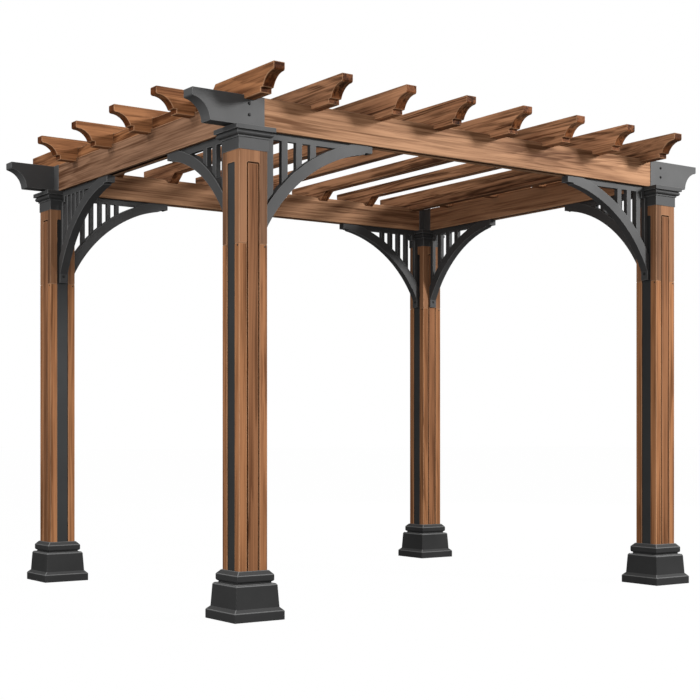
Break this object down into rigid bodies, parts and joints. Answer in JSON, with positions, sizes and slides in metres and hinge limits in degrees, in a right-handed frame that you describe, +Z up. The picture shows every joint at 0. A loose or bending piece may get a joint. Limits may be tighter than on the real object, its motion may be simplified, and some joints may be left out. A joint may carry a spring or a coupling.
{
  "type": "wooden pergola",
  "caption": "Free-standing wooden pergola: square posts in black feet and caps, arched slatted gussets, grooved beams with scroll brackets and notched scroll-ended rafters.",
  "frame": {"origin": "on the ground at the middle of the plan", "axes": "+X along the front beam to the right-hand posts, +Y from the front to the back, +Z up"},
  "size_m": [3.092, 2.51, 2.322],
  "materials": {
    "post_timber": "stained softwood, semi-transparent walnut stain",
    "inlay_timber": "stained softwood, semi-transparent walnut stain",
    "beam_timber": "stained softwood, semi-transparent walnut stain",
    "rafter_timber": "stained softwood, semi-transparent walnut stain",
    "cast_black": "satin black powder coat",
    "plate_black": "satin black powder coat",
    "gusset_black": "satin black powder coat",
    "strip_black": "satin black powder coat"
  },
  "bodies": {
    "root": {"foot_front_left": "cast_black", "post_lower_front_left": "post_timber", "post_upper_front_left": "post_timber", "cap_front_left": "cast_black", "bracket_front_left": "plate_black", "foot_front_right": "cast_black", "post_lower_front_right": "post_timber", "post_upper_front_right": "post_timber", "cap_front_right": "cast_black", "bracket_front_right": "plate_black", "foot_back_left": "cast_black", "post_lower_back_left": "post_timber", "post_upper_back_left": "post_timber", "cap_back_left": "cast_black", "bracket_back_left": "plate_black", "foot_back_right": "cast_black", "post_lower_back_right": "post_timber", "post_upper_back_right": "post_timber", "cap_back_right": "cast_black", "bracket_back_right": "plate_black", "post_inlays": "inlay_timber", "post_metal_strips": "strip_black", "beam_front": "beam_timber", "beam_back": "beam_timber", "beam_left": "beam_timber", "beam_right": "beam_timber", "front_gusset_left": "gusset_black", "front_gusset_right": "gusset_black", "back_gusset_left": "gusset_black", "back_gusset_right": "gusset_black", "left_gusset_front": "gusset_black", "left_gusset_back": "gusset_black", "right_gusset_front": "gusset_black", "right_gusset_back": "gusset_black", "rafter_1": "rafter_timber", "rafter_2": "rafter_timber", "rafter_3": "rafter_timber", "rafter_4": "rafter_timber", "rafter_5": "rafter_timber", "rafter_6": "rafter_timber", "rafter_7": "rafter_timber", "rafter_8": "rafter_timber", "left_tails": "rafter_timber", "right_tails": "rafter_timber"}
  },
  "joints": []
}
